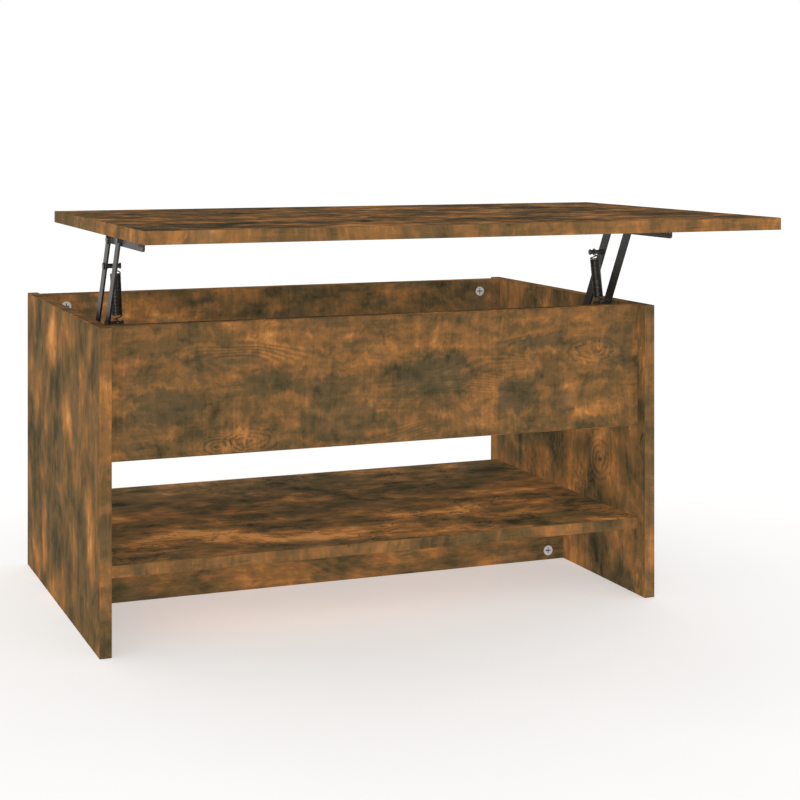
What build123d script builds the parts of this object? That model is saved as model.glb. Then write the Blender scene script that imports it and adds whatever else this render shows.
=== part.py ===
"""Lift-top coffee table: a panel box with a shelf, whose lid rises towards the sitter on two linkages.

Frame: millimetres, +Z up, +X to the right, -Y towards the sitter (the front).
The origin is on the floor, at the centre of the footprint.
The model is drawn with the lid raised. The lid closes by swinging back and down on its four arms.
"""

from build123d import *
import math
import os

os.makedirs("parts", exist_ok=True)

# Boards
BOARD = 15.0                  # thickness of every board
LID_WIDTH = 800.0
LID_DEPTH = 500.0
BASE_WIDTH = 774.0            # over the two side panels
BASE_DEPTH = 496.0            # depth of a side panel
BASE_HEIGHT = 403.0           # height of a side panel
PANEL_RECESS = 20.0           # front panel, back panel and shelf stand in from the sides' edges
BOX_BOTTOM = 235.0            # lower edge of the front and back panels
SHELF_TOP = 107.0
LID_FRONT_OVERHANG = 9.0      # closed lid, past the front edge of the side panels
BAND = 0.8                    # edge band thickness
BAND_ROUND = 0.35             # rounding on the outer edges of a band

# Lift linkage, one at each side
LIFT_FORWARD = 271.0          # how far the raised lid stands in front of the closed lid
LIFT_UP = 118.5               # how far it stands above it
ARM_LEAN = 29.6               # lean of the raised arms towards the front, in degrees
ARM_WIDTH = 16.5
ARM_THICK = 2.5
ARM_INNER_FACE = 357.5        # distance of the arms' inner faces from the middle of the table
FRONT_TOP_PIVOT_Y = -228.3    # upper pivot of the front arm, lid raised
FRONT_TOP_PIVOT_DROP = 11.0   # its depth below the underside of the lid
ARM_PITCH = 57.85             # from the front arm's pivots back to the rear arm's
ARM_STEP = 5.0                # and down to them
FRONT_STUD_REACH = 56.4       # spring stud on the front arm, from its lower pivot
REAR_STUD_REACH = 144.9       # spring stud on the rear arm, from its lower pivot
METAL_ROUND = 0.4             # softened edges of the steel parts

# Upper bracket, an angle under the lid
BRACKET_THICK = 2.5
LEG_OUTER_FACE = 356.9
LEG_DEPTH = 20.5
FLANGE_WIDTH = 25.0
BRACKET_FRONT_Y = -344.5
BRACKET_REAR_Y = -149.0
LEG_SLOTS = 3
LEG_SLOT_WIDTH = 4.5
LEG_SLOT_HEIGHT = 9.0
LEG_SLOT_PITCH = 7.5
LEG_SLOT_FIRST = 0.65         # first slot's distance from the front end, in pitches
LEG_SLOT_DROP = 1.0           # slots' middle below the leg's
LEG_CORNER = 4.0
BEND_ROUND = 2.0
UPPER_SCREW_Y = (-330.0, -247.0, -163.0)
UPPER_SCREW_X = 342.0

# Lower bracket, a plate on the side panel
PLATE_LENGTH = 112.0
PLATE_HEIGHT = 50.0
PLATE_CORNER = 7.0
PLATE_DROP = 4.0              # its centre, below the middle of the two lower pivots
PLATE_SCREW_INSET = 9.0

# Pivots, washers and spring studs
PIVOT_RADIUS = 2.5
SHOULDER_RADIUS = 5.0
HEAD_RADIUS = 5.5
HEAD_THICK = 1.7
HEAD_ROUND = 0.6              # rounding of a pivot's head, as a part of its thickness
SCREW_HEAD_ROUND = 0.55
RIVET_HEAD_RADIUS = 4.5       # an upper pivot's head on the inside of the bracket
RIVET_HEAD_THICK = 1.5
RIVET_ROUND = 0.935
WASHER_RADIUS = 7.0
WASHER_THICK = 0.5
RUNNING_GAP = 0.05            # radial and axial play of the pivots
PIN_SUNK = 0.1                # a lower pivot's end, short of the side panel's face
HEAD_GAP = 0.3                # axial play under a pivot's free head
STUD_RADIUS = 3.0
STUD_FIT = 0.02
STUD_TIP = 338.6
STUD_HEAD_RADIUS = 4.5
STUD_HEAD_THICK = 2.0
STUD_COLLAR_RADIUS = 4.0
STUD_COLLAR = 1.6

# Springs
SPRING_X = 346.0
SPRING_RADIUS = 7.0
SPRING_BORE = 5.2
SPRING_WIRE = 0.9             # radius of the wire
HOOK_RADIUS = 4.25            # centre-line radius of an end loop
SPRING_END = 9.0              # from a stud's centre to the end of the coil

# Knock-down fittings
CAM_RADIUS = 7.3
CAM_POCKET_RADIUS = 7.5
CAM_LENGTH = 12.0
CAM_POCKET_DEPTH = 12.5
CAM_CROSS = 9.0
CAM_CROSS_WIDTH = 1.5
CAM_CROSS_DEPTH = 1.6
CAM_CROSS_TURN = 0.0
CAM_SUNK = 0.2                # the cam's face, below the board's face
CAM_HOLLOW = 3.8              # radius of the hollow for the bolt
CAM_GRIP = 4.5                # how far past its centre the cam is hollow for the bolt's head
CAM_SETBACK = 36.0            # cam centre, from the end of a wide board
CAM_SETBACK_STRETCHER = 25.5
BOLT_SHANK = 2.5
BOLT_HEAD = 3.4
BOLT_HEAD_NEAR = 3.0          # the head's two ends, from the cam's centre
BOLT_HEAD_FAR = 1.0
BOLT_THREAD_OVERLAP = 1.0     # thread that stands in the board's bore
BOLT_THREAD = 3.0
BOLT_BORE = 4.0
BOLT_BITE = 11.0              # thread length in the side panel
DOWEL_RADIUS = 4.0
DOWEL_IN_BOARD = 18.0
DOWEL_IN_SIDE = 10.0
DOWEL_CHAMFER = 0.8
BORE_SLACK = 0.5              # empty depth past the end of a bolt or an upright dowel
DOWEL_BORE_SLACK = 1.0        # and past a dowel in a board's end
FITTING_PLAY = 0.05
SCREW_RADIUS = 1.75
SCREW_LENGTH = 11.0
SCREW_HEAD_RADIUS = 4.0
SCREW_HEAD_THICK = 2.4
SCREW_CROSS = 4.2
SCREW_CROSS_WIDTH = 1.0
SCREW_CROSS_DEPTH = 1.3
SCREW_TIP = 3.0               # length of the tapered tip
SCREW_TIP_DRAWN = 2.4         # the taper is cut off blunt at this length
SCREW_TIP_TAPER = 30.0
SCREW_HOLE_PLAY = 0.3         # round a screw in a bracket

# Places that follow from them
INNER_X = BASE_WIDTH / 2 - BOARD
HALF_DEPTH = BASE_DEPTH / 2
PANEL_OUTER_Y = HALF_DEPTH - PANEL_RECESS
PANEL_INNER_Y = PANEL_OUTER_Y - BOARD
SHELF_BOTTOM = SHELF_TOP - BOARD
LID_FRONT = -HALF_DEPTH - LID_FRONT_OVERHANG - LIFT_FORWARD
LID_UNDER = BASE_HEIGHT + LIFT_UP
ARM_OUTER_FACE = ARM_INNER_FACE + ARM_THICK
LEG_INNER_FACE = LEG_OUTER_FACE - BRACKET_THICK
PLATE_FACE = INNER_X - BRACKET_THICK
SIDES = {"left": -1, "right": 1}
TURN_TO = {"x": (0, 90, 0), "y": (90, 0, 0), "z": (0, 0, 0)}

# The arms turn about their lower pivots from the closed to the raised pose. The lid's travel is the
# chord of that turn, which gives the closed direction and the length from the raised direction.
lean = math.radians(ARM_LEAN)
half_turn = math.atan2(LIFT_UP, LIFT_FORWARD) + lean
ARM_LENGTH = math.hypot(LIFT_FORWARD, LIFT_UP) / (2 * math.sin(half_turn))
ARM_TURN = math.degrees(2 * half_turn)
ARM_DIRECTION = (-math.sin(lean), math.cos(lean))


def along_arm(pivot, distance):
    """The point at a distance from an arm's lower pivot, as (y, z), lid raised."""
    return (pivot[0] + distance * ARM_DIRECTION[0], pivot[1] + distance * ARM_DIRECTION[1])


FRONT_TOP = (FRONT_TOP_PIVOT_Y, LID_UNDER - FRONT_TOP_PIVOT_DROP)
FRONT_BOTTOM = along_arm(FRONT_TOP, -ARM_LENGTH)
REAR_TOP = (FRONT_TOP[0] + ARM_PITCH, FRONT_TOP[1] - ARM_STEP)
REAR_BOTTOM = (FRONT_BOTTOM[0] + ARM_PITCH, FRONT_BOTTOM[1] - ARM_STEP)
FRONT_STUD = along_arm(FRONT_BOTTOM, FRONT_STUD_REACH)
REAR_STUD = along_arm(REAR_BOTTOM, REAR_STUD_REACH)

# Board ends that are joined to the side panels: the middle of the joint (y, z), the direction that
# the cam's open face looks in, and the cam's distance from the end of the board.
CAM_JOINTS = (
    ((-PANEL_OUTER_Y + BOARD / 2, 384.0), (0, 1, 0), CAM_SETBACK),
    ((-PANEL_OUTER_Y + BOARD / 2, 254.0), (0, 1, 0), CAM_SETBACK),
    ((PANEL_OUTER_Y - BOARD / 2, 384.0), (0, -1, 0), CAM_SETBACK),
    ((PANEL_OUTER_Y - BOARD / 2, 254.0), (0, -1, 0), CAM_SETBACK),
    ((-150.0, BOX_BOTTOM + BOARD / 2), (0, 0, -1), CAM_SETBACK),
    ((150.0, BOX_BOTTOM + BOARD / 2), (0, 0, -1), CAM_SETBACK),
    ((-170.0, SHELF_BOTTOM + BOARD / 2), (0, 0, -1), CAM_SETBACK),
    ((170.0, SHELF_BOTTOM + BOARD / 2), (0, 0, -1), CAM_SETBACK),
    ((0.0, 13.4), (0, -1, 0), CAM_SETBACK_STRETCHER),
)
DOWEL_JOINTS = (
    (-PANEL_OUTER_Y + BOARD / 2, 319.0),
    (PANEL_OUTER_Y - BOARD / 2, 319.0),
    (-60.0, BOX_BOTTOM + BOARD / 2),
    (60.0, BOX_BOTTOM + BOARD / 2),
    (-60.0, SHELF_BOTTOM + BOARD / 2),
    (60.0, SHELF_BOTTOM + BOARD / 2),
    (0.0, 58.0),
)
SHELF_DOWEL_X = (-220.0, 0.0, 220.0)     # upright dowels between stretcher and shelf
SHELF_DOWEL_HALF = 12.0                  # half length of an upright dowel
SHELF_DOWEL_IN_SHELF = 9.0


def save(part, name):
    """Label a finished piece and write its STEP file."""
    part.label = name
    export_step(part, f"parts/{name}.step")


def block(low, high, mode=Mode.ADD):
    """A rectangular block between two opposite corners."""
    with Locations(tuple((a + b) / 2 for a, b in zip(low, high))):
        Box(*[b - a for a, b in zip(low, high)], mode=mode)


def rods(axis, radius, start, stop, points, mode=Mode.ADD):
    """Round rods along an axis from start to stop. Each point gives the other two coordinates."""
    middle = (start + stop) / 2
    order = {"x": (2, 0, 1), "y": (0, 2, 1), "z": (0, 1, 2)}[axis]
    centres = [tuple((*point, middle)[index] for index in order) for point in points]
    with Locations(*centres):
        Cylinder(radius, abs(stop - start), rotation=TURN_TO[axis], mode=mode)


def lies_in(point, low, high):
    """Whether a joint's (y, z) point lies in a board's cross-section."""
    return low[1] < point[0] < high[1] and low[2] < point[1] < high[2]


def drill_board_ends(low, high):
    """Cam pockets, bolt bores and dowel bores for the joints that lie in this board."""
    for side in SIDES.values():
        for (y, z), face, setback in CAM_JOINTS:
            if not lies_in((y, z), low, high):
                continue
            cam_x = side * (INNER_X - setback)
            centre = Vector(cam_x, y, z) + Vector(face) * (BOARD / 2 - CAM_POCKET_DEPTH / 2)
            with Locations(centre):
                turn = TURN_TO["y"] if face[1] else TURN_TO["z"]
                Cylinder(CAM_POCKET_RADIUS, CAM_POCKET_DEPTH, rotation=turn, mode=Mode.SUBTRACT)
            rods("x", BOLT_BORE, cam_x, side * INNER_X, [(y, z)], Mode.SUBTRACT)
        ends = [point for point in DOWEL_JOINTS if lies_in(point, low, high)]
        if ends:
            bore_end = side * (INNER_X - DOWEL_IN_BOARD - DOWEL_BORE_SLACK)
            rods("x", DOWEL_RADIUS + FITTING_PLAY, bore_end, side * INNER_X, ends, Mode.SUBTRACT)


def band_strip(name, strips):
    """Edge bands: thin strips between corners, with the edges of the outward face rounded."""
    with BuildPart() as bands:
        for low, high, outward in strips:
            with BuildPart(mode=Mode.PRIVATE) as strip:
                block(low, high)
                outer = strip.faces().sort_by(Axis((0, 0, 0), outward))[-1]
                fillet(outer.edges(), BAND_ROUND)
            add(strip.part)
    save(bands.part, name)


# ---- Lid ----
lid_low = (-LID_WIDTH / 2, LID_FRONT, LID_UNDER)
lid_high = (LID_WIDTH / 2, LID_FRONT + LID_DEPTH, LID_UNDER + BOARD)

with BuildPart() as lid:
    block(
        (lid_low[0] + BAND, lid_low[1] + BAND, LID_UNDER),
        (lid_high[0] - BAND, lid_high[1] - BAND, lid_high[2]),
    )
    upper_screws = [(side * UPPER_SCREW_X, y) for side in SIDES.values() for y in UPPER_SCREW_Y]
    lid_bore_top = LID_UNDER + SCREW_LENGTH
    rods("z", SCREW_RADIUS + FITTING_PLAY, LID_UNDER, lid_bore_top, upper_screws, Mode.SUBTRACT)
save(lid.part, "lid")

long_left, long_right = lid_low[0] + BAND, lid_high[0] - BAND
lid_top = lid_high[2]
band_strip("lid_edge_bands", [
    ((long_left, lid_low[1], LID_UNDER), (long_right, lid_low[1] + BAND, lid_top), (0, -1, 0)),
    ((long_left, lid_high[1] - BAND, LID_UNDER), (long_right, lid_high[1], lid_top), (0, 1, 0)),
    (lid_low, (long_left, lid_high[1], lid_top), (-1, 0, 0)),
    ((long_right, lid_low[1], LID_UNDER), lid_high, (1, 0, 0)),
])

# ---- Side panels ----
plate_centre = (
    (FRONT_BOTTOM[0] + REAR_BOTTOM[0]) / 2,
    (FRONT_BOTTOM[1] + REAR_BOTTOM[1]) / 2 - PLATE_DROP,
)
plate_screws = [
    (plate_centre[0] + dy * (PLATE_LENGTH / 2 - PLATE_SCREW_INSET),
     plate_centre[1] + dz * (PLATE_HEIGHT / 2 - PLATE_SCREW_INSET))
    for dy in (-1, 1) for dz in (-1, 1)
]

for side_name, side in SIDES.items():
    near = side * INNER_X
    far = side * BASE_WIDTH / 2
    left, right = min(near, far), max(near, far)
    with BuildPart() as side_panel:
        block((left, -HALF_DEPTH + BAND, 0), (right, HALF_DEPTH - BAND, BASE_HEIGHT - BAND))
        cam_ends = [joint[0] for joint in CAM_JOINTS]
        bolt_stop = near + side * (BOLT_BITE + BORE_SLACK)
        rods("x", BOLT_THREAD + FITTING_PLAY, near, bolt_stop, cam_ends, Mode.SUBTRACT)
        dowel_stop = near + side * (DOWEL_IN_SIDE + BORE_SLACK)
        rods("x", DOWEL_RADIUS + FITTING_PLAY, near, dowel_stop, DOWEL_JOINTS, Mode.SUBTRACT)
        screw_stop = near + side * (SCREW_LENGTH - BRACKET_THICK)
        rods("x", SCREW_RADIUS + FITTING_PLAY, near, screw_stop, plate_screws, Mode.SUBTRACT)
    save(side_panel.part, f"{side_name}_side_panel")

    band_strip(f"{side_name}_side_edge_bands", [
        ((left, -HALF_DEPTH, 0), (right, -HALF_DEPTH + BAND, BASE_HEIGHT), (0, -1, 0)),
        ((left, HALF_DEPTH - BAND, 0), (right, HALF_DEPTH, BASE_HEIGHT), (0, 1, 0)),
        (
            (left, -HALF_DEPTH + BAND, BASE_HEIGHT - BAND),
            (right, HALF_DEPTH - BAND, BASE_HEIGHT),
            (0, 0, 1),
        ),
    ])

# ---- Front and back panels ----
for panel_name, y_low in (("front_panel", -PANEL_OUTER_Y), ("back_panel", PANEL_INNER_Y)):
    low = (-INNER_X, y_low, BOX_BOTTOM)
    high = (INNER_X, y_low + BOARD, BASE_HEIGHT)
    with BuildPart() as upright:
        block((low[0], low[1], low[2] + BAND), (high[0], high[1], high[2] - BAND))
        drill_board_ends(low, high)
    save(upright.part, panel_name)

    band_strip(f"{panel_name}_edge_bands", [
        ((low[0], low[1], high[2] - BAND), high, (0, 0, 1)),
        (low, (high[0], high[1], low[2] + BAND), (0, 0, -1)),
    ])

# ---- Compartment floor, between the front and back panels ----
floor_low = (-INNER_X, -PANEL_INNER_Y, BOX_BOTTOM)
floor_high = (INNER_X, PANEL_INNER_Y, BOX_BOTTOM + BOARD)
with BuildPart() as compartment_floor:
    block(floor_low, floor_high)
    drill_board_ends(floor_low, floor_high)
save(compartment_floor.part, "compartment_floor")

# ---- Lower shelf ----
shelf_low = (-INNER_X, -PANEL_OUTER_Y, SHELF_BOTTOM)
shelf_high = (INNER_X, PANEL_OUTER_Y, SHELF_TOP)
upright_dowels = [(x, 0.0) for x in SHELF_DOWEL_X]
with BuildPart() as shelf:
    block((-INNER_X, shelf_low[1] + BAND, SHELF_BOTTOM), (INNER_X, shelf_high[1] - BAND, SHELF_TOP))
    drill_board_ends(shelf_low, shelf_high)
    shelf_bore_top = SHELF_BOTTOM + SHELF_DOWEL_IN_SHELF + BORE_SLACK
    rods("z", DOWEL_RADIUS + FITTING_PLAY, SHELF_BOTTOM, shelf_bore_top, upright_dowels, Mode.SUBTRACT)
save(shelf.part, "shelf")

band_strip("shelf_edge_bands", [
    (shelf_low, (shelf_high[0], shelf_low[1] + BAND, shelf_high[2]), (0, -1, 0)),
    ((shelf_low[0], shelf_high[1] - BAND, shelf_low[2]), shelf_high, (0, 1, 0)),
])

# ---- Stretcher, a rail on edge under the middle of the shelf ----
rail_low = (-INNER_X, -BOARD / 2, 0)
rail_high = (INNER_X, BOARD / 2, SHELF_BOTTOM)
upright_dowel_low = SHELF_BOTTOM + SHELF_DOWEL_IN_SHELF - 2 * SHELF_DOWEL_HALF
with BuildPart() as stretcher:
    block(rail_low, rail_high)
    drill_board_ends(rail_low, rail_high)
    rail_bore_low = upright_dowel_low - BORE_SLACK
    rods("z", DOWEL_RADIUS + FITTING_PLAY, rail_bore_low, SHELF_BOTTOM, upright_dowels, Mode.SUBTRACT)
save(stretcher.part, "stretcher")

# ---- Knock-down fittings ----
with BuildPart() as cam_locks:
    for side in SIDES.values():
        for (y, z), face, setback in CAM_JOINTS:
            cam_x = side * (INNER_X - setback)
            face_centre = Vector(cam_x, y, z) + Vector(face) * (BOARD / 2 - CAM_SUNK)
            face_plane = Plane(origin=face_centre, x_dir=(side, 0, 0), z_dir=face)
            with BuildSketch(face_plane):
                Circle(CAM_RADIUS)
            extrude(amount=-CAM_LENGTH)
            with BuildSketch(face_plane):
                Rectangle(CAM_CROSS, CAM_CROSS_WIDTH, rotation=CAM_CROSS_TURN)
                Rectangle(CAM_CROSS_WIDTH, CAM_CROSS, rotation=CAM_CROSS_TURN)
            extrude(amount=-CAM_CROSS_DEPTH, mode=Mode.SUBTRACT)
            hollow_end = cam_x - side * CAM_GRIP
            rods("x", CAM_HOLLOW, hollow_end, side * INNER_X, [(y, z)], Mode.SUBTRACT)
save(cam_locks.part, "cam_locks")

with BuildPart() as cam_bolts:
    for side in SIDES.values():
        for joint, face, setback in CAM_JOINTS:
            cam_x = side * (INNER_X - setback)
            thread_end = side * (INNER_X - BOLT_THREAD_OVERLAP)
            rods("x", BOLT_THREAD, side * (INNER_X + BOLT_BITE), thread_end, [joint])
            rods("x", BOLT_SHANK, side * INNER_X, cam_x, [joint])
            rods("x", BOLT_HEAD, cam_x - side * BOLT_HEAD_NEAR, cam_x + side * BOLT_HEAD_FAR, [joint])
save(cam_bolts.part, "cam_bolts")

with BuildPart() as dowels:
    for side in SIDES.values():
        start = side * (INNER_X - DOWEL_IN_BOARD)
        stop = side * (INNER_X + DOWEL_IN_SIDE)
        rods("x", DOWEL_RADIUS, start, stop, DOWEL_JOINTS)
    dowel_top = SHELF_BOTTOM + SHELF_DOWEL_IN_SHELF
    rods("z", DOWEL_RADIUS, upright_dowel_low, dowel_top, upright_dowels)
    chamfer(dowels.edges().filter_by(GeomType.CIRCLE), DOWEL_CHAMFER)
save(dowels.part, "dowels")


def screws(name, head_planes):
    """Pan-head wood screws. Each plane lies under a head and looks out of the head."""
    with BuildPart() as screw_set:
        for plane in head_planes:
            with BuildSketch(plane):
                Circle(SCREW_HEAD_RADIUS)
            extrude(amount=SCREW_HEAD_THICK)
            rim = screw_set.faces().sort_by_distance(plane.origin + plane.z_dir * SCREW_HEAD_THICK)[0]
            fillet(rim.edges(), SCREW_HEAD_THICK * SCREW_HEAD_ROUND)
            with BuildSketch(plane.offset(SCREW_HEAD_THICK)):
                Rectangle(SCREW_CROSS, SCREW_CROSS_WIDTH)
                Rectangle(SCREW_CROSS_WIDTH, SCREW_CROSS)
            extrude(amount=-SCREW_CROSS_DEPTH, mode=Mode.SUBTRACT)
            with BuildSketch(plane):
                Circle(SCREW_RADIUS)
            extrude(amount=SCREW_TIP - SCREW_LENGTH)
            with BuildSketch(plane.offset(SCREW_TIP - SCREW_LENGTH)):
                Circle(SCREW_RADIUS)
            extrude(amount=-SCREW_TIP_DRAWN, taper=SCREW_TIP_TAPER)
    save(screw_set.part, name)


def arm(name, bottom, stud, side):
    """A flat steel arm with a pivot hole at each end and a hole for its spring stud."""
    top = along_arm(bottom, ARM_LENGTH)
    middle = along_arm(bottom, ARM_LENGTH / 2)
    face = min(side * ARM_INNER_FACE, side * ARM_OUTER_FACE)
    with BuildPart() as bar:
        with BuildSketch(Plane.YZ.offset(face)):
            with Locations(middle):
                SlotCenterToCenter(ARM_LENGTH, ARM_WIDTH, rotation=90 + ARM_LEAN)
            with Locations(bottom, top):
                Circle(PIVOT_RADIUS + RUNNING_GAP, mode=Mode.SUBTRACT)
            with Locations(stud):
                Circle(STUD_RADIUS + STUD_FIT, mode=Mode.SUBTRACT)
        extrude(amount=ARM_THICK)
        rims = [bar.faces().sort_by(Axis.X)[index].outer_wire().edges() for index in (0, -1)]
        fillet(rims[0] + rims[1], METAL_ROUND)
    save(bar.part, name)


def spring_stud(name, centre, side):
    """A round stud riveted through an arm, reaching inwards, with a collar at its tip."""
    with BuildPart() as stud:
        rods("x", STUD_RADIUS, side * ARM_OUTER_FACE, side * STUD_TIP, [centre])
        head_end = side * (ARM_OUTER_FACE + STUD_HEAD_THICK)
        rods("x", STUD_HEAD_RADIUS, side * ARM_OUTER_FACE, head_end, [centre])
        rods("x", STUD_COLLAR_RADIUS, side * STUD_TIP, side * (STUD_TIP + STUD_COLLAR), [centre])
        collar_end = side * (ARM_INNER_FACE - STUD_COLLAR)
        rods("x", STUD_COLLAR_RADIUS, collar_end, side * ARM_INNER_FACE, [centre])
        ends = stud.faces().filter_by(Axis.X)
        outer = [ends.sort_by(Axis.X)[0], ends.sort_by(Axis.X)[-1]]
        fillet([edge for end in outer for edge in end.edges()], METAL_ROUND)
    save(stud.part, name)


def spring_loop(centre, toward, start):
    """One end loop round a stud, with its neck out to the coil, which begins at start."""
    loop_plane = Plane(origin=centre, x_dir=toward, z_dir=(1, 0, 0))
    with BuildPart() as loop:
        with Locations(loop_plane.location):
            Torus(HOOK_RADIUS, SPRING_WIRE)
        with BuildSketch(Plane(origin=centre + toward * (HOOK_RADIUS - SPRING_WIRE / 2),
                               x_dir=(1, 0, 0), z_dir=toward)):
            Circle(SPRING_WIRE)
        extrude(amount=start - HOOK_RADIUS + SPRING_WIRE / 2)
    return loop.part


def springs(side_name, side):
    """The extension spring between the two studs: the coil with its lower loop, and the upper loop."""
    low = Vector(side * SPRING_X, *FRONT_STUD)
    high = Vector(side * SPRING_X, *REAR_STUD)
    toward = (high - low).normalized()
    coil_length = (high - low).length - 2 * SPRING_END
    coil_plane = Plane(origin=low + toward * SPRING_END, x_dir=(1, 0, 0), z_dir=toward)
    with BuildPart() as coil:
        with BuildSketch(coil_plane):
            Circle(SPRING_RADIUS)
            Circle(SPRING_BORE, mode=Mode.SUBTRACT)
        extrude(amount=coil_length)
        with BuildSketch(coil_plane):
            Circle(SPRING_RADIUS)
        extrude(amount=2 * SPRING_WIRE)
        add(spring_loop(low, toward, SPRING_END))
    save(coil.part, f"{side_name}_spring")
    with BuildPart() as hook:
        with BuildSketch(coil_plane.offset(coil_length)):
            Circle(SPRING_RADIUS)
        extrude(amount=2 * SPRING_WIRE)
        add(spring_loop(high, -toward, SPRING_END - SPRING_WIRE))
    save(hook.part, f"{side_name}_spring_hook")


def washers(name, low_x, points, side):
    """Thin washers on the pivots, from low_x outwards."""
    with BuildPart() as washer_set:
        rods("x", WASHER_RADIUS, side * low_x, side * (low_x + WASHER_THICK), points)
        rods("x", PIVOT_RADIUS + RUNNING_GAP, side * (low_x - 1), side * (low_x + 1), points, Mode.SUBTRACT)
    save(washer_set.part, name)


def lower_bracket(side_name, side):
    """The plate on the side panel, its two shoulder pivots, washers and wood screws."""
    with BuildPart() as plate:
        with BuildSketch(Plane.YZ.offset(min(side * PLATE_FACE, side * INNER_X))):
            with Locations(plate_centre):
                RectangleRounded(PLATE_LENGTH, PLATE_HEIGHT, PLATE_CORNER)
            with Locations(FRONT_BOTTOM, REAR_BOTTOM):
                Circle(STUD_RADIUS + FITTING_PLAY, mode=Mode.SUBTRACT)
            with Locations(*plate_screws):
                Circle(SCREW_RADIUS + SCREW_HOLE_PLAY, mode=Mode.SUBTRACT)
        extrude(amount=BRACKET_THICK)
        shown = plate.faces().sort_by(Axis.X)[0 if side > 0 else -1]
        fillet(shown.outer_wire().edges(), METAL_ROUND)
    save(plate.part, f"{side_name}_lower_bracket")

    pivots = [FRONT_BOTTOM, REAR_BOTTOM]
    shoulder_end = ARM_OUTER_FACE + WASHER_THICK + 2 * RUNNING_GAP
    head_start = ARM_INNER_FACE - HEAD_GAP
    with BuildPart() as pins:
        rods("x", STUD_RADIUS, side * (INNER_X - PIN_SUNK), side * (PLATE_FACE - 1), pivots)
        rods("x", SHOULDER_RADIUS, side * PLATE_FACE, side * shoulder_end, pivots)
        rods("x", PIVOT_RADIUS, side * shoulder_end, side * head_start, pivots)
        rods("x", HEAD_RADIUS, side * head_start, side * (head_start - HEAD_THICK), pivots)
        ends = pins.faces().filter_by(Axis.X).group_by(Axis.X)[0 if side > 0 else -1]
        fillet(ends.edges(), HEAD_THICK * HEAD_ROUND)
    save(pins.part, f"{side_name}_lower_pivots")

    washers(f"{side_name}_lower_washers", ARM_OUTER_FACE + RUNNING_GAP, pivots, side)
    screws(f"{side_name}_lower_bracket_screws", [
        Plane(origin=(side * PLATE_FACE, y, z), x_dir=(0, 1, 0), z_dir=(-side, 0, 0)) for y, z in plate_screws
    ])


def upper_bracket(side_name, side):
    """The angle under the lid, its two pivots, washers and wood screws."""
    length = BRACKET_REAR_Y - BRACKET_FRONT_Y
    leg_middle = ((BRACKET_REAR_Y + BRACKET_FRONT_Y) / 2, LID_UNDER - LEG_DEPTH / 2)
    slot_centres = [
        (BRACKET_FRONT_Y + LEG_SLOT_PITCH * (index + LEG_SLOT_FIRST), leg_middle[1] - LEG_SLOT_DROP)
        for index in range(LEG_SLOTS)
    ]
    flange_low = LEG_OUTER_FACE - FLANGE_WIDTH
    with BuildPart() as angle:
        with BuildSketch(Plane.YZ.offset(min(side * LEG_INNER_FACE, side * LEG_OUTER_FACE))):
            with Locations(leg_middle):
                Rectangle(length, LEG_DEPTH)
            with Locations(FRONT_TOP, REAR_TOP):
                Circle(PIVOT_RADIUS + FITTING_PLAY, mode=Mode.SUBTRACT)
            with Locations(*slot_centres):
                SlotOverall(LEG_SLOT_HEIGHT, LEG_SLOT_WIDTH, rotation=90, mode=Mode.SUBTRACT)
        extrude(amount=BRACKET_THICK)
        with BuildSketch(Plane.XY.offset(LID_UNDER - BRACKET_THICK)):
            with Locations((side * (flange_low + LEG_OUTER_FACE) / 2, leg_middle[0])):
                Rectangle(FLANGE_WIDTH, length)
            with Locations(*[(side * UPPER_SCREW_X, y) for y in UPPER_SCREW_Y]):
                Circle(SCREW_RADIUS + SCREW_HOLE_PLAY, mode=Mode.SUBTRACT)
        extrude(amount=BRACKET_THICK)
        corners = angle.edges().filter_by(Axis.X).group_by(Axis.Z)[0]
        fillet(corners, LEG_CORNER)
        bend_place = (side * LEG_OUTER_FACE, leg_middle[0], LID_UNDER)
        bend = angle.edges().filter_by(Axis.Y).sort_by_distance(bend_place)[0]
        fillet(bend, BEND_ROUND)
    save(angle.part, f"{side_name}_upper_bracket")

    pivots = [FRONT_TOP, REAR_TOP]
    head_start = ARM_OUTER_FACE + HEAD_GAP
    with BuildPart() as pins:
        rivet_end = side * (LEG_INNER_FACE - RIVET_HEAD_THICK)
        rods("x", RIVET_HEAD_RADIUS, side * LEG_INNER_FACE, rivet_end, pivots)
        rods("x", PIVOT_RADIUS, side * LEG_INNER_FACE, side * head_start, pivots)
        rods("x", HEAD_RADIUS, side * head_start, side * (head_start + HEAD_THICK), pivots)
        ends = pins.faces().filter_by(Axis.X).group_by(Axis.X)
        fillet(ends[0].edges() + ends[-1].edges(), RIVET_ROUND)
    save(pins.part, f"{side_name}_upper_pivots")

    washers(f"{side_name}_upper_washers", LEG_OUTER_FACE + RUNNING_GAP, pivots, side)
    screws(f"{side_name}_upper_bracket_screws", [
        Plane(origin=(side * UPPER_SCREW_X, y, LID_UNDER - BRACKET_THICK), x_dir=(1, 0, 0), z_dir=(0, 0, -1))
        for y in UPPER_SCREW_Y
    ])


for side_name, side in SIDES.items():
    lower_bracket(side_name, side)
    upper_bracket(side_name, side)
    arm(f"{side_name}_front_arm", FRONT_BOTTOM, FRONT_STUD, side)
    arm(f"{side_name}_rear_arm", REAR_BOTTOM, REAR_STUD, side)
    spring_stud(f"{side_name}_front_spring_stud", FRONT_STUD, side)
    spring_stud(f"{side_name}_rear_spring_stud", REAR_STUD, side)
    springs(side_name, side)

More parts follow.
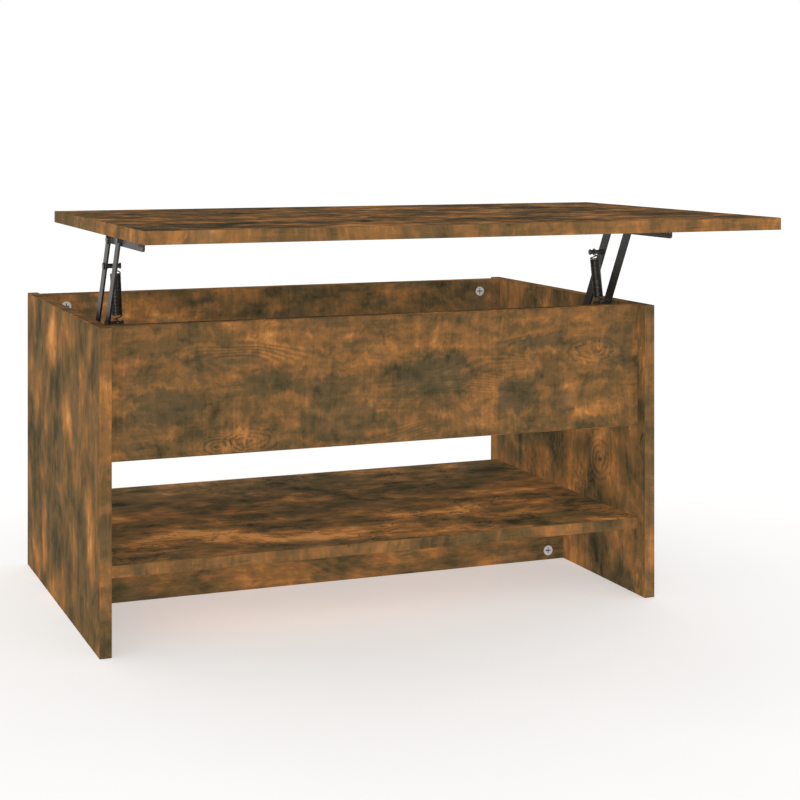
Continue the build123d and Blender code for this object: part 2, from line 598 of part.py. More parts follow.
print(f"arm length {ARM_LENGTH:.3f}, turn {ARM_TURN:.3f} degrees")
pivot_places = {
    "front lower": FRONT_BOTTOM,
    "front upper": FRONT_TOP,
    "rear lower": REAR_BOTTOM,
    "rear upper": REAR_TOP,
    "front stud": FRONT_STUD,
    "rear stud": REAR_STUD,
}
for pivot_name, (y, z) in pivot_places.items():
    print(f"{pivot_name} y {y:.3f} z {z:.3f}")
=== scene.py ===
"""Looks of the lift-top coffee table: smoked-oak boards, black lift hardware and wound springs."""

import math

import bpy
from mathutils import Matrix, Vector


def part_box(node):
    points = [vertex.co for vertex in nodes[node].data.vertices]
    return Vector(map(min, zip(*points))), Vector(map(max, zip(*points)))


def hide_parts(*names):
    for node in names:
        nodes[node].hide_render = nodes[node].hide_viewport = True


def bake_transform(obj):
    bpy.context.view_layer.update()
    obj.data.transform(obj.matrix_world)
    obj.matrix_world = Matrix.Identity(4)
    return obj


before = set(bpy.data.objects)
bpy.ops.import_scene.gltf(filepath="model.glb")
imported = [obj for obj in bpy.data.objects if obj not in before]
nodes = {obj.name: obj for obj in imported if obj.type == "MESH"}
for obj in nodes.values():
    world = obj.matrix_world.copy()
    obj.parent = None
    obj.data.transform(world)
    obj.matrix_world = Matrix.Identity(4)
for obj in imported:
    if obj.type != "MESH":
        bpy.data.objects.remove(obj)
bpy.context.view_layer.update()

SIDES = {"left": -1, "right": 1}


def show(thing):
    """Put a new object into the scene."""
    bpy.context.scene.collection.objects.link(thing)


# ---- camera ----
# It stands level and is shifted down, since the photograph's upright edges are parallel
CAMERA_PLACE = (-0.83898, -2.31763, 0.64301)
CAMERA_TURN = -21.267        # degrees about Z, from looking along +Y
CAMERA_LEVEL = 90            # degrees about X
SENSOR = 36.0
LENS = 77.40
SHIFT = (0.03684, -0.33613)
CLIP = (0.05, 60)


def add_camera():
    data = bpy.data.cameras.new("camera")
    data.sensor_width = SENSOR
    data.lens = LENS
    data.shift_x, data.shift_y = SHIFT
    data.clip_start, data.clip_end = CLIP
    camera = bpy.data.objects.new("camera", data)
    camera.location = CAMERA_PLACE
    camera.rotation_euler = (math.radians(CAMERA_LEVEL), 0, math.radians(CAMERA_TURN))
    show(camera)
    bpy.context.scene.camera = camera


# ---- node graph helper ----
class Graph:
    """A short way to write a shader: each call adds a node and returns the output that is used."""

    def __init__(self, name):
        self.material = bpy.data.materials.new(name)
        self.material.use_nodes = True
        self.tree = self.material.node_tree
        self.tree.nodes.clear()
        self.output = self.tree.nodes.new("ShaderNodeOutputMaterial")

    def put(self, socket, value):
        """Link an output to the socket, or set the socket's value."""
        if isinstance(value, bpy.types.NodeSocket):
            self.tree.links.new(value, socket)
        else:
            socket.default_value = value

    def place(self):
        """The point in the object's own space, in metres."""
        return self.tree.nodes.new("ShaderNodeTexCoord").outputs["Object"]

    def math(self, operation, *values):
        node = self.tree.nodes.new("ShaderNodeMath")
        node.operation = operation
        for socket, value in zip(node.inputs, values):
            self.put(socket, value)
        return node.outputs[0]

    def vector(self, operation, *values):
        node = self.tree.nodes.new("ShaderNodeVectorMath")
        node.operation = operation
        for socket, value in zip(node.inputs, values):
            self.put(socket, value)
        return node.outputs["Value" if operation == "LENGTH" else "Vector"]

    def split(self, vector):
        node = self.tree.nodes.new("ShaderNodeSeparateXYZ")
        self.put(node.inputs[0], vector)
        return node.outputs

    def noise(self, place, stretch, scale, detail=3.0, roughness=0.5, seed=0.0, colour=False):
        """Noise of the stretched place; each seed moves it to a spot of its own."""
        moved = self.vector("MULTIPLY_ADD", place, stretch, (seed, seed * 0.7, seed * 1.3))
        node = self.tree.nodes.new("ShaderNodeTexNoise")
        self.put(node.inputs["Vector"], moved)
        for name, value in (("Scale", scale), ("Detail", detail), ("Roughness", roughness)):
            node.inputs[name].default_value = value
        return node.outputs["Color" if colour else "Fac"]

    def remap(self, value, low, high, to_low=0.0, to_high=1.0, smooth=False):
        """Carry low..high over to to_low..to_high, and hold the ends."""
        node = self.tree.nodes.new("ShaderNodeMapRange")
        if smooth:
            node.interpolation_type = "SMOOTHSTEP"
        self.put(node.inputs["Value"], value)
        self.put(node.inputs["From Min"], low)
        self.put(node.inputs["From Max"], high)
        self.put(node.inputs["To Min"], to_low)
        self.put(node.inputs["To Max"], to_high)
        return node.outputs["Result"]

    def ramp(self, value, stops):
        """Value to colour, through (position, colour) stops."""
        node = self.tree.nodes.new("ShaderNodeValToRGB")
        node.color_ramp.interpolation = "EASE"
        elements = node.color_ramp.elements
        while len(elements) < len(stops):
            elements.new(0.5)
        for element, (position, colour) in zip(elements, stops):
            element.position, element.color = position, (*colour, 1.0)
        self.put(node.inputs["Fac"], value)
        return node.outputs["Color"]

    def mix(self, blend, amount, first, second):
        node = self.tree.nodes.new("ShaderNodeMix")
        node.data_type, node.blend_type = "RGBA", blend
        self.put(node.inputs["Factor"], amount)
        self.put(node.inputs["A"], first)
        self.put(node.inputs["B"], second)
        return node.outputs["Result"]

    def bump(self, height, distance):
        """A normal from a relief that is so many metres high."""
        node = self.tree.nodes.new("ShaderNodeBump")
        node.inputs["Distance"].default_value = distance
        node.inputs["Strength"].default_value = 1.0
        self.put(node.inputs["Height"], height)
        return node.outputs["Normal"]

    def finish(self, **sockets):
        """Close the graph with a Principled shader; an underscore in a name stands for a space."""
        shader = self.tree.nodes.new("ShaderNodeBsdfPrincipled")
        for name, value in sockets.items():
            self.put(shader.inputs[name.replace("_", " ")], value)
        self.tree.links.new(shader.outputs["BSDF"], self.output.inputs["Surface"])
        return self.material


# ---- smoked oak ----
# Tone to colour, from smoked grey-brown through brown and orange-brown to light tan
OAK = (
    (0.00, (0.030, 0.024, 0.014)),
    (0.20, (0.066, 0.047, 0.022)),
    (0.42, (0.118, 0.069, 0.028)),
    (0.62, (0.190, 0.092, 0.033)),
    (0.80, (0.290, 0.127, 0.038)),
    (1.00, (0.440, 0.200, 0.062)),
)
# smoke colours, which also colour the shade painted at the back of the shelf
SMOKE_AND_SHADE = (
    (0.00, (0.028, 0.025, 0.014)),
    (0.50, (0.068, 0.055, 0.029)),
    (1.00, (0.140, 0.103, 0.054)),
)
PORE_TINT = (0.36, 0.32, 0.30, 1.0)
# darkens the glue joints with the edge bands, and paints shade into the gaps where boards meet
SEAM_AND_GAP_SHADE_TINT = (0.25, 0.23, 0.21, 1.0)
SHEEN = 0.005                # the melamine is dead matt: at grazing angles more would veil the decor
RELIEF = 0.00030
AXES = "xyz"
EVEN = (1, 1, 1)

# Noise scales, in features per metre
DRIFT_SCALE = 7.0
FIGURE_SCALE = 3.4
VEIN_SCALE = 26.0
RING_BREAK_SCALE = 60.0
BRISTLE_SCALE = 110.0
FIBRE_SCALE = 120.0
PORE_SCALE = 380.0
SAW_SCALE = 420.0

# How far the drift carries the pattern, in metres
SWAY_ALONG = 0.07
SWAY_ACROSS = 0.025
KNOT_SWAY = (0.02, 0.02, 0.02)


def along(grain, slow, fast=1.0):
    """Stretch factors: slow along the grain axes, fast across them."""
    return tuple(slow if axis in grain else fast for axis in AXES)


def centred(graph, value, gain):
    """A noise value as a signed swing about zero."""
    return graph.math("MULTIPLY_ADD", value, gain, -0.5 * gain)


def wander(graph, drift, amounts):
    """The coloured drift noise as an offset, by an amount for each axis."""
    return graph.vector("MULTIPLY", graph.vector("SUBTRACT", drift, (0.5, 0.5, 0.5)), amounts)


def reach(graph, place, centre, radii):
    """Distance from a centre, in units of the radii."""
    offset = graph.vector("SUBTRACT", place, centre)
    return graph.vector("LENGTH", graph.vector("MULTIPLY", offset, tuple(1 / r for r in radii)))


def seam_and_gap_shade_line(graph, place, low, high, flat):
    """A thin dark line along the edges of a board's face: the joint with its edge bands, and painted shade
    in the gaps where it meets other boards; 0 elsewhere.
    """
    parts = graph.split(place)
    nearest = None
    for index, axis in enumerate(AXES):
        if axis == flat:
            continue
        middle, half = (low[index] + high[index]) / 2, (high[index] - low[index]) / 2
        off = graph.math("ABSOLUTE", graph.math("SUBTRACT", parts[index], middle))
        gap = graph.math("SUBTRACT", half, off)
        nearest = gap if nearest is None else graph.math("MINIMUM", nearest, gap)
    return graph.remap(nearest, 0.0001, 0.0011, 0.30, 0.0, smooth=True)


def add_arcs(graph, tone, place, bent, grain, seed, figures):
    """Faint growth arcs here and there, and plainer ones inside each figure, (centre, radii)."""
    figure = graph.noise(bent, along(grain, 1.0, 4.5), FIGURE_SCALE, detail=1.5, roughness=0.4,
                         seed=seed + 19)
    arcs = graph.math("SINE", graph.math("MULTIPLY", figure, 190.0))
    shown = graph.remap(graph.noise(place, EVEN, 8.0, seed=seed + 23), 0.52, 0.66, 0.0, 0.06, smooth=True)
    for centre, radii in figures:
        inside = graph.remap(reach(graph, bent, centre, radii), 0.3, 1.2, 0.11, 0.0)
        shown = graph.math("MAXIMUM", shown, inside)
    return graph.math("MULTIPLY_ADD", arcs, shown, tone)


def add_knot(graph, tone, place, drift, flakes, seed, centre, radii):
    """Thin, broken rings round a dark heart, on slightly lighter wood."""
    loose = graph.vector("ADD", place, wander(graph, drift, KNOT_SWAY))
    away = graph.math("ADD", reach(graph, loose, centre, radii), centred(graph, flakes, 1.3))
    waves = graph.math("ABSOLUTE", graph.math("SINE", graph.math("MULTIPLY", away, 9.0)))
    rings = graph.math("POWER", waves, 5.0)
    fade = graph.remap(away, 0.9, 1.9, 0.26, 0.0, smooth=True)
    gaps = graph.noise(place, EVEN, RING_BREAK_SCALE, detail=2.0, seed=seed + 47)
    unbroken = graph.remap(gaps, 0.36, 0.50, smooth=True)
    lines = graph.math("MULTIPLY", rings, graph.math("MULTIPLY", fade, unbroken))
    tone = graph.math("SUBTRACT", graph.math("MULTIPLY_ADD", fade, 0.2, tone), lines)
    return graph.math("ADD", tone, graph.remap(away, 0.1, 0.55, -0.20, 0.0, smooth=True))


def add_veins(graph, tone, place, bent, grain, seed, veins):
    """Dark wandering cracks, as in burl wood, in some places only."""
    vein = graph.noise(bent, along(grain, 1.0, 1.6), VEIN_SCALE, detail=3.0, roughness=0.55, seed=seed + 43)
    line = graph.math("ABSOLUTE", centred(graph, vein, 1.0))
    burl = graph.remap(graph.noise(place, EVEN, 9.0, seed=seed + 45), 0.46, 0.60, 0.0, 1.0, smooth=True)
    crack = graph.remap(line, 0.0, 0.030, -veins, 0.04, smooth=True)
    return graph.math("MULTIPLY_ADD", crack, burl, tone)


def smoked_oak(name, grain, flat, brush, seed, node=None, cloud=0.55, flake=0.55, fibre=0.45, smoke=0.60,
               saw=0.0, blotch=8.0, lean=2.2, fibre_lean=0.07, grit=4.5, pull=0.020, pore=0.4, gain=1.0,
               level=0.5, marks=(), knots=(), figures=(), veins=0.0):
    """Smoked-oak decor, with a seed of its own for each board.

    grain is the axis it runs along, flat the axis across the board's face, and brush the axis along which
    the colour is drawn out, by pull metres. node is the board, if it gets a dark line along its face's
    edges: its joint with its edge bands, and painted shade in the gaps where it meets other boards.
    cloud, flake, fibre, smoke, saw, pore and veins are the strengths of its layers. blotch is the clouds'
    scale, grit how much finer the flakes are, and lean and fibre_lean how long both are drawn.
    level is the middle tone and gain its brightness, which also paints light or shade over a whole board.
    marks are clouds, (centre, radii, strength), lighter if positive and smoke if negative, and on the shelf
    some dark ones are painted shade; knots and figures are (centre, radii)."""
    graph = Graph(name)
    place = graph.place()
    drift = graph.noise(place, EVEN, DRIFT_SCALE, detail=2.0, seed=seed, colour=True)
    sway = tuple(SWAY_ALONG if axis in grain else SWAY_ACROSS for axis in AXES)
    bent = graph.vector("ADD", place, wander(graph, drift, sway))
    bristles = graph.noise(place, along(brush, 0.10), BRISTLE_SCALE, detail=4.0, roughness=0.65,
                           seed=seed + 2)
    stroke = graph.vector("SCALE", tuple(pull if axis in brush else 0.0 for axis in AXES))
    graph.put(stroke.node.inputs["Scale"], centred(graph, bristles, 1.0))
    drawn = graph.vector("ADD", bent, stroke)

    clouds = graph.noise(drawn, along(grain, 1.0, lean), blotch, detail=2.5, seed=seed + 3)
    tone = graph.math("ADD", centred(graph, clouds, 2.6 * cloud), level)
    flakes = graph.noise(drawn, along(grain, 1.0, lean * 0.8), blotch * grit, detail=5.0, roughness=0.62,
                         seed=seed + 7)
    tone = graph.math("ADD", tone, centred(graph, flakes, 2.2 * flake))
    for centre, radii, strength in marks:
        if strength > 0:
            lighter = graph.remap(reach(graph, drawn, centre, radii), 0.4, 1.2, strength, 0.0, smooth=True)
            tone = graph.math("ADD", tone, lighter)
    tone = add_arcs(graph, tone, place, bent, grain, seed, figures)
    for centre, radii in knots:
        tone = add_knot(graph, tone, place, drift, flakes, seed, centre, radii)

    fibres = graph.noise(drawn, along(brush, fibre_lean), FIBRE_SCALE, detail=5.0, roughness=0.68,
                         seed=seed + 31)
    tone = graph.math("ADD", tone, centred(graph, fibres, 1.6 * fibre))
    streaks = graph.noise(bent, along(grain, 0.05), FIBRE_SCALE, detail=4.0, roughness=0.6, seed=seed + 33)
    tone = graph.math("ADD", tone, centred(graph, streaks, fibre))
    if saw:
        cuts = graph.noise(place, along(brush, 0.03), SAW_SCALE, detail=2.0, seed=seed + 37)
        tone = graph.math("ADD", tone, centred(graph, cuts, saw))
    if veins:
        tone = add_veins(graph, tone, place, bent, grain, seed, veins)
    colour = graph.ramp(tone, OAK)

    patches = graph.noise(drawn, along(grain, 1.0, lean * 0.75), blotch * 1.8, detail=4.0, roughness=0.55,
                          seed=seed + 11)
    haze = graph.remap(patches, 0.54, 0.66, 0.0, smoke, smooth=True)
    # negative marks: the decor's smoke, and on the shelf also painted shade at its back
    for centre, radii, strength in marks:
        if strength < 0:
            ragged = graph.math("ADD", reach(graph, drawn, centre, radii), centred(graph, flakes, 1.1))
            ragged = graph.math("ADD", ragged, centred(graph, patches, 0.6))
            patch = graph.remap(ragged, 0.70, 1.15, -strength, 0.0, smooth=True)
            haze = graph.math("MAXIMUM", haze, patch)
    smoke_and_shade = graph.ramp(graph.math("ADD", tone, -0.05), SMOKE_AND_SHADE)
    colour = graph.mix("MIX", haze, colour, smoke_and_shade)

    pores = graph.noise(bent, along(grain, 0.06), PORE_SCALE, detail=2.0, seed=seed + 41)
    pores = graph.remap(pores, 0.60, 0.70, 0.0, pore, smooth=True)
    gated = graph.math("MULTIPLY", pores, graph.remap(flakes, 0.40, 0.60, 1.0, 0.2, smooth=True))
    colour = graph.mix("MULTIPLY", gated, colour, PORE_TINT)
    if node:
        # a dark line along the face's edges: the joints with the edge bands, and painted shade in the gaps
        # between boards
        seam_and_gap_shade = seam_and_gap_shade_line(graph, place, *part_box(node), flat)
        colour = graph.mix("MULTIPLY", seam_and_gap_shade, colour, SEAM_AND_GAP_SHADE_TINT)
    # painted light and shade: gain lightens or darkens the whole board, the shelf lighter against the shade
    # it lies in under the compartment, the lid darker on its top
    if gain != 1.0:
        colour = graph.mix("MULTIPLY", 1.0, colour, (gain, gain, gain, 1.0))

    relief = graph.math("MULTIPLY_ADD", pores, -1.2, graph.math("ADD", streaks, fibres))
    return graph.finish(
        Base_Color=colour,
        Roughness=graph.remap(fibres, 0.3, 0.7, 0.58, 0.72),
        Specular_IOR_Level=SHEEN,
        Normal=graph.bump(relief, RELIEF),
    )


# ---- boards ----
THROUGH = 1000               # radius, in millimetres, of what goes right through a board
MARK_THROUGH = 100
FRONT_Y, LEFT_X, RIGHT_X, SHELF_Z = -228, -387, 387, 107
LID_EDGE_Z = 528


def spot(centre, radii):
    """A centre and radii, from millimetres to metres."""
    return tuple(c / 1000 for c in centre), tuple(r / 1000 for r in radii)


def face_marks(flat, level, smoke, light):
    """The clouds that stand out on a face. Each is (place, place, radius, radius, strength) in
    millimetres, along the two axes of the face; level is its place on the flat axis."""
    marks = []
    for sign, group in ((-1, smoke), (1, light)):
        for first, second, first_radius, second_radius, strength in group:
            centre, radii = [first, second], [first_radius, second_radius]
            centre.insert(AXES.index(flat), level)
            radii.insert(AXES.index(flat), MARK_THROUGH)
            marks.append((*spot(centre, radii), sign * strength))
    return marks


def front_marks():
    smoke = [
        (69, 320, 62, 32, 0.80), (186, 288, 38, 26, 0.65), (-297, 298, 40, 26, 0.65),
        (-60, 272, 70, 30, 0.55), (-225, 352, 60, 12, 0.45), (-170, 318, 46, 16, 0.55),
        (-338, 290, 18, 60, 0.35), (226, 358, 40, 9, 0.60), (350, 350, 30, 40, 0.50),
        (270, 278, 26, 16, 0.45), (-80, 312, 60, 14, 0.50),
    ]
    light = [
        (-150, 362, 70, 16, 0.14), (-110, 330, 60, 9, 0.22), (318, 258, 46, 8, 0.30),
        (-310, 322, 30, 12, 0.12), (-12, 300, 40, 24, 0.10), (135, 250, 50, 20, 0.08),
        (150, 372, 60, 12, 0.10), (-215, 250, 40, 14, 0.10),
    ]
    return face_marks("y", FRONT_Y, smoke, light)


def left_marks():
    smoke = [
        (-93, 300, 34, 80, 0.55), (0, 212, 26, 56, 0.65), (160, 335, 30, 30, 0.55),
        (195, 170, 18, 90, 0.40), (-150, 110, 40, 50, 0.35), (40, 110, 14, 110, 0.50),
    ]
    light = [
        (60, 352, 46, 50, 0.36), (90, 260, 26, 50, 0.26), (105, 190, 20, 60, 0.20),
        (115, 70, 26, 70, 0.30), (-190, 150, 24, 60, 0.14), (-60, 250, 20, 40, 0.10),
    ]
    return face_marks("x", LEFT_X, smoke, light)


def right_marks():
    smoke = [
        (170, 190, 90, 60, 0.60), (30, 240, 40, 40, 0.50), (-190, 260, 30, 40, 0.60),
        (-110, 60, 60, 30, 0.55),
    ]
    light = [(-140, 165, 60, 60, 0.26), (-60, 210, 40, 30, 0.16), (-180, 60, 40, 30, 0.14)]
    return face_marks("x", RIGHT_X, smoke, light)


def shelf_marks():
    # Painted shade: the two broad dark clouds at y 150 darken the back of the shelf under the compartment;
    # the other dark clouds are the decor's smoke. The light clouds all lie towards the front.
    smoke = [
        (-120, 150, 300, 90, 0.55), (200, 70, 120, 40, 0.50), (60, -10, 90, 26, 0.50),
        (300, -190, 60, 20, 0.45), (-60, -215, 60, 14, 0.45), (-330, -60, 40, 26, 0.40),
        (330, 150, 60, 80, 0.55), (-300, -200, 40, 24, 0.50),
    ]
    light = [
        (-250, -120, 110, 46, 0.30), (-90, -150, 120, 40, 0.30), (120, -100, 120, 34, 0.20),
        (230, -140, 90, 24, 0.24), (-60, -60, 120, 16, 0.14), (250, 0, 80, 20, 0.16),
    ]
    return face_marks("z", SHELF_Z, smoke, light)


def dress(node, material):
    """Give a CAD node one material."""
    mesh = nodes[node].data
    mesh.materials.clear()
    mesh.materials.append(material)


def dress_boards():
    """One decor for each board, so that no two boards repeat."""
    lying = dict(grain="x", flat="z", brush="x", fibre=0.42, cloud=0.7, flake=0.9, lean=1.7)
    upright = dict(grain="x", flat="y", brush="z", saw=0.16, fibre=0.30, pore=0.25)
    side = dict(grain="z", flat="x", brush="z", fibre=0.28, lean=1.4, blotch=7.0, fibre_lean=0.10,
                pull=0.014, grit=2.6)
    front_knots = [
        spot((308, FRONT_Y, 339), (34, THROUGH, 14)),
        spot((-190, FRONT_Y, 251), (28, THROUGH, 12)),
        spot((-235, FRONT_Y, 247), (22, THROUGH, 10)),
    ]
    front_figures = [spot((-180, FRONT_Y, 360), (110, THROUGH, 28))]
    right_knots = [spot((RIGHT_X, -125, 165), (THROUGH, 26, 24))]
    boards = {
        # gain=0.92 paints shade onto the lid, darker on its top
        "lid": dict(lying, seed=2.0, blotch=9.0, flake=1.1, fibre=0.6, gain=0.92),
        "front_panel": dict(upright, seed=9.0, cloud=0.25, flake=0.6, smoke=0.3, marks=front_marks(),
                            knots=front_knots, figures=front_figures),
        "back_panel": dict(upright, seed=17.0, smoke=0.75),
        "compartment_floor": dict(lying, seed=25.0),
        # gain=2.0 paints light onto the shelf, which lies in shade under the compartment
        "shelf": dict(lying, seed=33.0, gain=2.0, level=0.47, cloud=0.5, flake=0.75, fibre=0.34, smoke=0.5,
                      lean=1.5, grit=3.2, pull=0.014, marks=shelf_marks(), veins=0.32),
        "stretcher": dict(upright, seed=41.0, brush="x"),
        "left_side_panel": dict(side, seed=49.0, cloud=0.35, flake=0.75, smoke=0.35, level=0.43,
                                marks=left_marks()),
        "right_side_panel": dict(side, seed=57.0, cloud=0.6, flake=0.85, smoke=0.6, level=0.42,
                                 marks=right_marks(), knots=right_knots, veins=0.22),
    }
    for node, look in boards.items():
        dress(node, smoked_oak("oak_" + node, node=node, **look))

    band = dict(cloud=0.42, flake=0.45, fibre=0.38, level=0.55, lean=0.8, pull=0.006)
    panel_band = dict(band, grain="x", flat="z", brush="y", blotch=14.0)
    side_band = dict(band, grain="yz", flat="x", brush="z", blotch=10.0)
    smoky_end = (*spot((-400, -60, LID_EDGE_Z), (24, 320, 80)), -0.55)
    bands = {
        "lid_edge_bands": dict(band, grain="xy", flat="z", brush="z", seed=65.0, blotch=11.0,
                               marks=[smoky_end]),
        "front_panel_edge_bands": dict(panel_band, seed=71.0),
        "back_panel_edge_bands": dict(panel_band, seed=77.0),
        "shelf_edge_bands": dict(band, grain="x", flat="y", brush="z", seed=83.0, blotch=11.0, level=0.50),
        "left_side_edge_bands": dict(side_band, seed=89.0),
        "right_side_edge_bands": dict(side_band, seed=95.0),
    }
    for node, look in bands.items():
        dress(node, smoked_oak("band_" + node, **look))


# ---- metals ----
BLACK = (0.0085, 0.0075, 0.0062)
PIN_BLACK = (0.0090, 0.0085, 0.0080)
PLATED = (0.50, 0.50, 0.48)
SPRING_GREY = (0.040, 0.036, 0.032)
# colour of the shade painted into the cams' driver-cross recesses
RECESS_SHADE = (0.035, 0.035, 0.035, 1.0)
ZINC = ((0.3, (0.40, 0.40, 0.39)), (0.7, (0.58, 0.58, 0.57)))
BEECH = ((0.3, (0.46, 0.27, 0.13)), (0.5, (0.60, 0.39, 0.21)), (0.7, (0.70, 0.50, 0.30)))
# depths at which the painted shade in a cam's cross fades in and out
RECESS_TOP = (0.0006, 0.0012)          # below a board's face, where the dark of a cam's cross sets in
RECESS_END = (0.0021, 0.0023)


def coated_steel(name, colour, roughness, grain=900.0, metallic=0.0, wear=0.0):
    """Satin-coated or bare steel with a fine orange-peel relief and slight colour variation."""
    graph = Graph(name)
    place = graph.place()
    fine = graph.noise(place, EVEN, grain, detail=4.0, roughness=0.6)
    broad = graph.noise(place, EVEN, 60.0, detail=4.0, roughness=0.6, seed=5.0)
    lighter = tuple(min(1.0, c * 1.6 + 0.004) for c in colour)
    tint = graph.remap(broad, 0.35, 0.70, 0.0, 0.7 + wear)
    return graph.finish(
        Base_Color=graph.mix("MIX", tint, (*colour, 1.0), (*lighter, 1.0)),
        Metallic=metallic,
        Roughness=graph.remap(fine, 0.3, 0.7, roughness - 0.06, roughness + 0.08),
        Specular_IOR_Level=0.42,
        Normal=graph.bump(graph.math("ADD", fine, broad), 0.00006),
    )


def cam_faces():
    """Axis and place of each board face that cams are let into."""
    low, high = 0, 1
    return (
        ("y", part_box("front_panel")[high][1]),
        ("y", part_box("back_panel")[low][1]),
        ("y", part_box("stretcher")[low][1]),
        ("z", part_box("compartment_floor")[low][2]),
        ("z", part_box("shelf")[low][2]),
    )


def cam_zinc():
    """Die-cast zinc with shade painted into the driver cross, as deep as the recess goes, so that the cross
    shows dark.
    """
    graph = Graph("cam_zinc")
    place = graph.place()
    parts = graph.split(place)
    depth = None
    for axis, face in cam_faces():
        off = graph.math("ABSOLUTE", graph.math("SUBTRACT", parts[AXES.index(axis)], face))
        depth = off if depth is None else graph.math("MINIMUM", depth, off)
    casting = graph.noise(place, EVEN, 1400.0, detail=4.0, roughness=0.6)
    # painted shade: darkens the zinc inside the cross recess, by its depth below the board's face
    recess_shade = graph.math("MULTIPLY", graph.remap(depth, *RECESS_TOP), graph.remap(depth, *RECESS_END, 1.0, 0.0))
    return graph.finish(
        Base_Color=graph.mix("MIX", recess_shade, graph.ramp(casting, ZINC), RECESS_SHADE),
        Metallic=0.35,
        Roughness=graph.remap(casting, 0.3, 0.7, 0.40, 0.55),
        Normal=graph.bump(casting, 0.00005),
    )


def beech():
    graph = Graph("beech")
    fibres = graph.noise(graph.place(), (1, 18, 18), 60.0, detail=5.0, roughness=0.6)
    return graph.finish(
        Base_Color=graph.ramp(fibres, BEECH),
        Roughness=0.65,
        Normal=graph.bump(fibres, 0.0001),
    )


def dress_hardware():
    black = coated_steel("black_steel", BLACK, 0.42)
    pin = coated_steel("dark_pin", PIN_BLACK, 0.34, wear=0.2)
    plated = coated_steel("plated_steel", PLATED, 0.32, metallic=0.9)
    for side in SIDES:
        for piece in ("front_arm", "rear_arm", "lower_bracket", "upper_bracket"):
            dress(f"{side}_{piece}", black)
        for piece in ("lower_pivots", "upper_pivots", "front_spring_stud", "rear_spring_stud"):
            dress(f"{side}_{piece}", pin)
        for piece in ("lower_washers", "upper_washers", "lower_bracket_screws", "upper_bracket_screws"):
            dress(f"{side}_{piece}", plated)
    dress("cam_locks", cam_zinc())
    dress("cam_bolts", plated)
    dress("dowels", beech())


# ---- springs ----
WIRE = 0.00086               # wire radius
WIRE_SIDES = 10
STEPS_PER_TURN = 22
PITCH = 0.00180              # the coils of an unloaded extension spring touch
CROSSOVER_TURN = 0.75        # part of a turn in which the wire runs from the axis out to the coil
COIL_END = 0.009             # from a stud's axis to the coil
LOOP_RADIUS = 0.00425        # of the centre line of the loop round a stud
LOOP_SWEEP = 310             # degrees
LOOP_STEPS = 30


def wire_circle():
    """Radius of the coil's centre line. Both springs are alike."""
    low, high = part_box("left_spring")
    return (high[0] - low[0]) / 2 - WIRE


def spring_path(low, high, side):
    """Centre line of one spring: lower loop, crossover, close coil, crossover, upper loop."""
    coil_radius = wire_circle()
    span = (high - low).length
    axis = (high - low).normalized()
    sideways = Vector((side, 0, 0))
    cross = axis.cross(sideways)
    coil_start = COIL_END + WIRE
    coil_length = span - 2 * coil_start
    turns = round(coil_length / PITCH)
    coil_steps = turns * STEPS_PER_TURN
    crossover_steps = int(STEPS_PER_TURN * CROSSOVER_TURN)

    def spoke(turn):
        """Direction away from the axis, after so many turns."""
        angle = math.tau * turn
        return cross * math.cos(angle) + sideways * math.sin(angle)

    def crossover(part):
        """Distance from the stud and from the axis, so far on the way from the loop to the coil."""
        rise = LOOP_RADIUS + (coil_start - LOOP_RADIUS) * part * part
        return rise, coil_radius * math.sin(part * math.pi / 2)

    path = []
    for step in range(LOOP_STEPS):
        angle = math.radians(360 - LOOP_SWEEP + LOOP_SWEEP * step / (LOOP_STEPS - 1))
        path.append(low + (axis * math.cos(angle) - cross * math.sin(angle)) * LOOP_RADIUS)
    for step in range(1, crossover_steps + 1):
        part = step / crossover_steps
        rise, out = crossover(part)
        path.append(low + axis * rise + spoke(CROSSOVER_TURN * part) * out)
    for step in range(1, coil_steps):
        part = step / coil_steps
        path.append(low + axis * (coil_start + coil_length * part)
                    + spoke(CROSSOVER_TURN + turns * part) * coil_radius)
    for step in range(crossover_steps + 1):
        part = 1 - step / crossover_steps
        rise, out = crossover(part)
        path.append(high - axis * rise + spoke(turns + CROSSOVER_TURN * (2 - part)) * out)
    for step in range(1, LOOP_STEPS):
        angle = math.radians(LOOP_SWEEP * step / (LOOP_STEPS - 1))
        path.append(high + (cross * math.sin(angle) - axis * math.cos(angle)) * LOOP_RADIUS)
    return path


def tube(name, path, radius, sides):
    """A round wire along a path, with flat ends. Its cross-section is carried along without twist."""
    verts, faces = [], []
    forward = (path[1] - path[0]).normalized()
    normal = forward.orthogonal().normalized()
    for index, point in enumerate(path):
        ahead = (path[min(index + 1, len(path) - 1)] - path[max(index - 1, 0)]).normalized()
        normal = (normal - ahead * normal.dot(ahead)).normalized()
        binormal = ahead.cross(normal)
        for k in range(sides):
            angle = math.tau * k / sides
            verts.append(point + (normal * math.cos(angle) + binormal * math.sin(angle)) * radius)
    for index in range(len(path) - 1):
        for k in range(sides):
            a, b = index * sides + k, index * sides + (k + 1) % sides
            faces.append((a, b, b + sides, a + sides))
    faces.append(tuple(reversed(range(sides))))
    faces.append(tuple(len(verts) - sides + k for k in range(sides)))
    mesh = bpy.data.meshes.new(name)
    mesh.from_pydata([tuple(v) for v in verts], [], faces)
    mesh.polygons.foreach_set("use_smooth", [len(face) == 4 for face in faces])
    mesh.update()
    piece = bpy.data.objects.new(name, mesh)
    show(piece)
    return piece


def stud_centre(side, which):
    """The middle of a spring stud, on the spring's own plane."""
    low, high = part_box(f"{side}_{which}_spring_stud")
    spring_low, spring_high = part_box(f"{side}_spring")
    return Vector(((spring_low[0] + spring_high[0]) / 2, (low[1] + high[1]) / 2, (low[2] + high[2]) / 2))


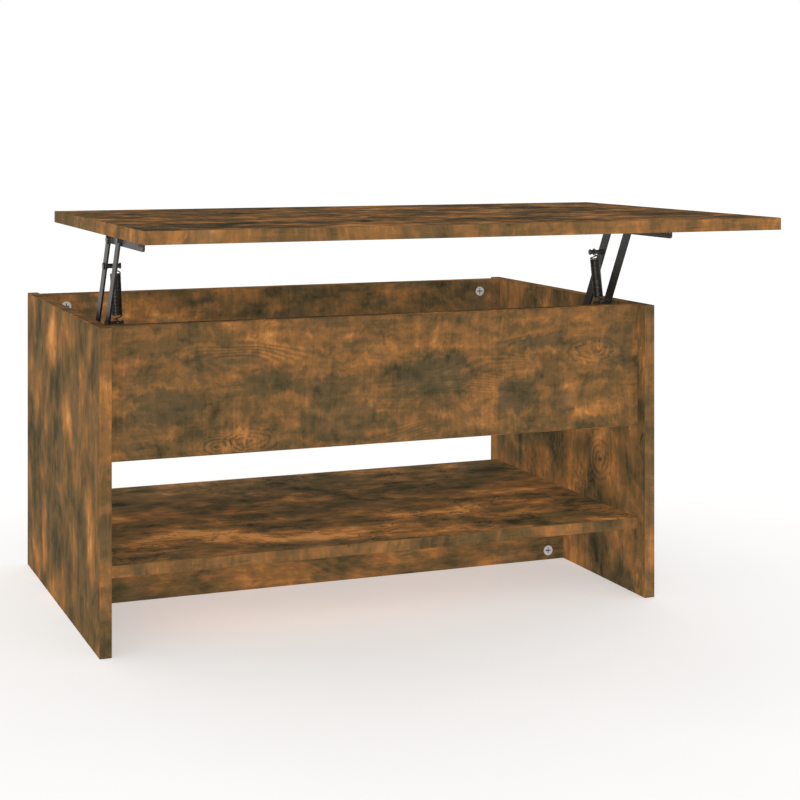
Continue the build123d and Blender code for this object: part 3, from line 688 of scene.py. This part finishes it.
def add_springs():
    """A wound wire for each spring, from the stud on the front arm to the one on the rear arm."""
    wire = coated_steel("spring_wire", SPRING_GREY, 0.32, grain=1600.0, metallic=0.75)
    for side, sign in SIDES.items():
        low, high = stud_centre(side, "front"), stud_centre(side, "rear")
        piece = tube(f"{side}_spring_wire", spring_path(low, high, sign), WIRE, WIRE_SIDES)
        piece.data.materials.append(wire)
        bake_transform(piece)
        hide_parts(f"{side}_spring", f"{side}_spring_hook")


# ---- stage ----
SKY = 0.62                   # radiance of the even studio light
SKY_TINT = (1.0, 0.99, 0.97, 1.0)
WHITE = (1.0, 1.0, 1.0, 1.0)
FLOOR_EXTENT = 30.0
FLOOR_SHADE = ((0.3, (0.92, 0.92, 0.92)), (0.7, (0.94, 0.94, 0.94)))
FLOOR_GLOW = 0.20            # lifts the pale floor to near-white
FILL_AZIMUTH = -45           # degrees: 0 is from the front, -90 from the left
FILL_ELEVATION = 16
FILL_STRENGTH = 3.3
FILL_ANGLE = 20


def background(tree, colour, strength):
    node = tree.nodes.new("ShaderNodeBackground")
    node.inputs["Color"].default_value = colour
    node.inputs["Strength"].default_value = strength
    return node.outputs[0]


def add_world():
    """Even light from all round, in front of a plain white backdrop."""
    world = bpy.data.worlds.new("studio")
    bpy.context.scene.world = world
    world.use_nodes = True
    tree = world.node_tree
    tree.nodes.clear()
    mixer = tree.nodes.new("ShaderNodeMixShader")
    path = tree.nodes.new("ShaderNodeLightPath")
    output = tree.nodes.new("ShaderNodeOutputWorld")
    tree.links.new(path.outputs["Is Camera Ray"], mixer.inputs["Fac"])
    tree.links.new(background(tree, SKY_TINT, SKY), mixer.inputs[1])
    tree.links.new(background(tree, WHITE, 1.0), mixer.inputs[2])
    tree.links.new(mixer.outputs[0], output.inputs["Surface"])


def add_floor():
    mesh = bpy.data.meshes.new("floor")
    signs = ((-1, -1), (1, -1), (1, 1), (-1, 1))
    corners = [(x * FLOOR_EXTENT, y * FLOOR_EXTENT, 0) for x, y in signs]
    mesh.from_pydata(corners, [], [(0, 1, 2, 3)])
    floor = bpy.data.objects.new("floor", mesh)
    show(floor)
    graph = Graph("pale_floor")
    haze = graph.noise(graph.place(), EVEN, 3.0, detail=2.0)
    mesh.materials.append(graph.finish(
        Base_Color=graph.ramp(haze, FLOOR_SHADE),
        Roughness=0.9,
        Specular_IOR_Level=0.0,
        Emission_Color=WHITE,
        Emission_Strength=FLOOR_GLOW,
    ))


def add_fill():
    """Soft light from the front left, without shadows, as in the photograph."""
    data = bpy.data.lights.new("fill", "SUN")
    data.energy = FILL_STRENGTH
    data.angle = math.radians(FILL_ANGLE)
    data.use_shadow = False
    light = bpy.data.objects.new("fill", data)
    turn, rise = math.radians(FILL_AZIMUTH), math.radians(FILL_ELEVATION)
    source = Vector((math.sin(turn) * math.cos(rise), -math.cos(turn) * math.cos(rise), math.sin(rise)))
    light.rotation_euler = source.to_track_quat("Z", "Y").to_euler()
    show(light)


add_camera()
dress_boards()
dress_hardware()
add_springs()
add_world()
add_floor()
add_fill()
bpy.context.scene.view_settings.view_transform = "Standard"
